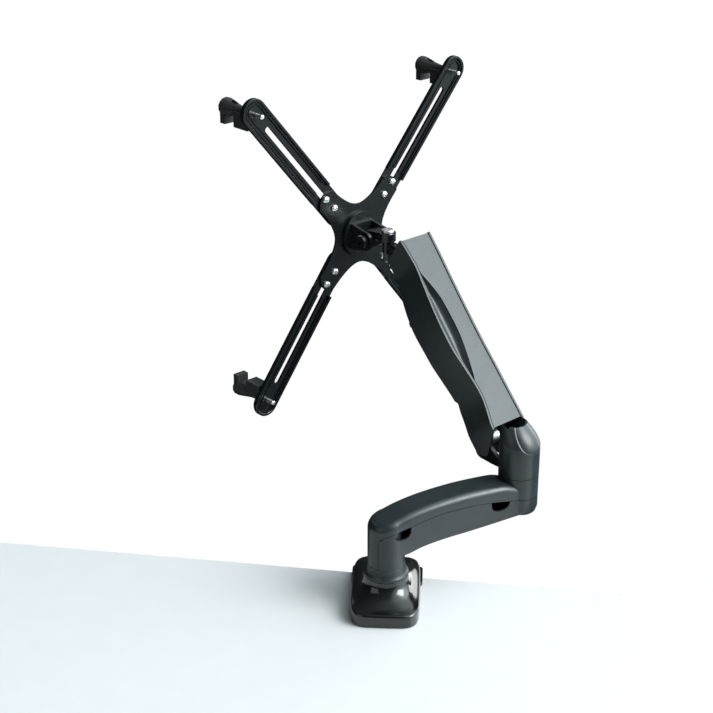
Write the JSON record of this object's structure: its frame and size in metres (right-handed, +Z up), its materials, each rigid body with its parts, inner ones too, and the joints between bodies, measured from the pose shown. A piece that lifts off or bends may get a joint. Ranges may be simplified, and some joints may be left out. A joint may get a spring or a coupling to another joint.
{
  "type": "monitor arm",
  "caption": "Desk-clamped monitor arm with a swivelling lower arm, a gas-spring upper arm, a tilting head and a cross plate whose adapter arms grip a screen by its edges.",
  "frame": {"origin": "on the desk top, on the axis of the base post", "axes": "+Z up, +Y towards the desk edge that the clamp holds, +X to the right seen from the front of the base"},
  "size_m": [0.3492, 0.4617, 0.6429],
  "materials": {
    "gloss_black": "glossy",
    "satin_black": "satin",
    "coated_steel": "satin powder coat",
    "bright_steel": "bright zinc",
    "rubber": "matte",
    "nylon": "satin",
    "gas_cylinder_paint": "semi-gloss"
  },
  "bodies": {
    "base": {"desk_pad": "rubber", "base_plate": "coated_steel", "clamp_bracket": "coated_steel", "base_post": "bright_steel", "base_cover": "gloss_black", "collar": "satin_black"},
    "clamp_foot": {"clamp_disc": "rubber"},
    "clamp_spindle": {"clamp_screw": "bright_steel", "clamp_bar": "bright_steel"},
    "lower_arm": {"base_bushing": "nylon", "lower_arm_body": "satin_black", "lower_arm_cover": "satin_black", "elbow_bushing": "nylon"},
    "elbow": {"elbow_bracket": "coated_steel", "elbow_housing": "gloss_black", "spring_anchor_pin": "bright_steel", "link_pin_elbow": "bright_steel"},
    "upper_arm": {"upper_arm_shell": "satin_black", "upper_arm_top_cover": "satin_black", "upper_arm_under_cover": "satin_black", "lift_pin_left": "bright_steel", "lift_pin_right": "bright_steel", "head_axle": "bright_steel", "spring_pin": "bright_steel"},
    "spring_body": {"gas_cylinder": "gas_cylinder_paint"},
    "spring_rod": {"gas_rod": "bright_steel"},
    "level_link": {"parallel_link": "coated_steel"},
    "knuckle": {"head_knuckle": "coated_steel", "link_pin_head": "bright_steel"},
    "yoke": {"swivel_yoke": "coated_steel", "swivel_pin": "bright_steel", "swivel_nut": "coated_steel"},
    "tilt_head": {"tilt_bracket": "coated_steel", "tilt_bolt": "coated_steel", "tilt_nut": "bright_steel"},
    "plate": {"cross_plate": "coated_steel", "plate_pivot": "bright_steel", "screw_upper_left_inner": "bright_steel", "screw_upper_left_outer": "bright_steel", "screw_upper_right_inner": "bright_steel", "screw_upper_right_outer": "bright_steel", "screw_lower_left_inner": "bright_steel", "screw_lower_left_outer": "bright_steel", "screw_lower_right_inner": "bright_steel", "screw_lower_right_outer": "bright_steel"},
    "adapter_upper_left": {"adapter_upper_left": "coated_steel", "stud_upper_left": "bright_steel"},
    "hook_upper_left": {"hook_upper_left": "rubber"},
    "adapter_upper_right": {"adapter_upper_right": "coated_steel", "stud_upper_right": "bright_steel"},
    "hook_upper_right": {"hook_upper_right": "rubber"},
    "adapter_lower_left": {"adapter_lower_left": "coated_steel", "stud_lower_left": "bright_steel"},
    "hook_lower_left": {"hook_lower_left": "rubber"},
    "adapter_lower_right": {"adapter_lower_right": "coated_steel", "stud_lower_right": "bright_steel"},
    "hook_lower_right": {"hook_lower_right": "rubber"}
  },
  "joints": [
    {"name": "clamp_feed", "type": "slide", "parent": "base", "child": "clamp_foot", "axis": [0, 0, 1], "range_m": [-0.06, 0.018]},
    {"name": "clamp_turn", "type": "hinge", "parent": "clamp_foot", "child": "clamp_spindle", "pos_m": [0, 0.034, -0.08], "axis": [0, 0, 1], "range_deg": [-14400, 4320]},
    {"name": "base_swivel", "type": "hinge", "parent": "base", "child": "lower_arm", "pos_m": [0, 0, 0.07], "axis": [0, 0, 1], "range_deg": [-120, 150]},
    {"name": "elbow_swivel", "type": "hinge", "parent": "lower_arm", "child": "elbow", "pos_m": [0.13927, 0.08236, 0.1], "axis": [0, 0, 1], "range_deg": [-190, 45]},
    {"name": "arm_lift", "type": "hinge", "parent": "elbow", "child": "upper_arm", "pos_m": [0.10759, 0.11404, 0.1575], "axis": [0.7071, 0.7071, 0], "range_deg": [-60, 15]},
    {"name": "head_level", "type": "hinge", "parent": "upper_arm", "child": "knuckle", "pos_m": [0.01487, 0.20676, 0.31377], "axis": [0.7071, 0.7071, 0], "range_deg": [-15, 60]},
    {"name": "link_swing", "type": "hinge", "parent": "elbow", "child": "level_link", "pos_m": [0.10476, 0.11687, 0.1471], "axis": [0.7071, 0.7071, 0], "range_deg": [-60, 15]},
    {"name": "spring_swing", "type": "hinge", "parent": "upper_arm", "child": "spring_body", "pos_m": [0.0353, 0.18633, 0.28711], "axis": [0.7071, 0.7071, 0], "range_deg": [-8, 8]},
    {"name": "spring_stroke", "type": "slide", "parent": "spring_body", "child": "spring_rod", "axis": [0.4179, -0.4179, -0.8066], "range_m": [-0.03, 0.01]},
    {"name": "head_swivel", "type": "hinge", "parent": "knuckle", "child": "yoke", "pos_m": [-0.00866, 0.23029, 0.3206], "axis": [0, 0, 1], "range_deg": [-80, 80]},
    {"name": "head_tilt", "type": "hinge", "parent": "yoke", "child": "tilt_head", "pos_m": [-0.02422, 0.24585, 0.3206], "axis": [0.7071, 0.7071, 0], "range_deg": [-40, 40]},
    {"name": "plate_rotate", "type": "hinge", "parent": "tilt_head", "child": "plate", "pos_m": [-0.04267, 0.2643, 0.3206], "axis": [-0.7071, 0.7071, 0], "range_deg": [-90, 90]},
    {"name": "slide_upper_left", "type": "slide", "parent": "plate", "child": "adapter_upper_left", "axis": [-0.4564, -0.4564, 0.7638], "range_m": [-0.006, 0.014]},
    {"name": "turn_upper_left", "type": "hinge", "parent": "adapter_upper_left", "child": "hook_upper_left", "pos_m": [-0.15934, 0.17761, 0.48274], "axis": [-0.7071, 0.7071, 0], "range_deg": [-60, 60]},
    {"name": "slide_upper_right", "type": "slide", "parent": "plate", "child": "adapter_upper_right", "axis": [0.4602, 0.4602, 0.7593], "range_m": [-0.006, 0.014]},
    {"name": "turn_upper_right", "type": "hinge", "parent": "adapter_upper_right", "child": "hook_upper_right", "pos_m": [0.0446, 0.38155, 0.48204], "axis": [-0.7071, 0.7071, 0], "range_deg": [-60, 60]},
    {"name": "slide_lower_left", "type": "slide", "parent": "plate", "child": "adapter_lower_left", "axis": [-0.4305, -0.4305, -0.7934], "range_m": [-0.006, 0.014]},
    {"name": "turn_lower_left", "type": "hinge", "parent": "adapter_lower_left", "child": "hook_lower_left", "pos_m": [-0.15532, 0.18163, 0.15388], "axis": [-0.7071, 0.7071, 0], "range_deg": [-60, 60]},
    {"name": "slide_lower_right", "type": "slide", "parent": "plate", "child": "adapter_lower_right", "axis": [0.445, 0.445, -0.7771], "range_m": [-0.006, 0.014]},
    {"name": "turn_lower_right", "type": "hinge", "parent": "adapter_lower_right", "child": "hook_lower_right", "pos_m": [0.04225, 0.3792, 0.15639], "axis": [-0.7071, 0.7071, 0], "range_deg": [-60, 60]}
  ],
  "couplings": [
    {"joint": "clamp_turn", "follows": "clamp_feed", "rad_per_m": 4188.8},
    {"joint": "head_level", "follows": "arm_lift", "ratio": -1},
    {"joint": "link_swing", "follows": "arm_lift", "ratio": 1},
    {"joint": "spring_swing", "follows": "arm_lift", "ratio": -0.054},
    {"joint": "spring_stroke", "follows": "arm_lift", "m_per_rad": 0.0095}
  ]
}
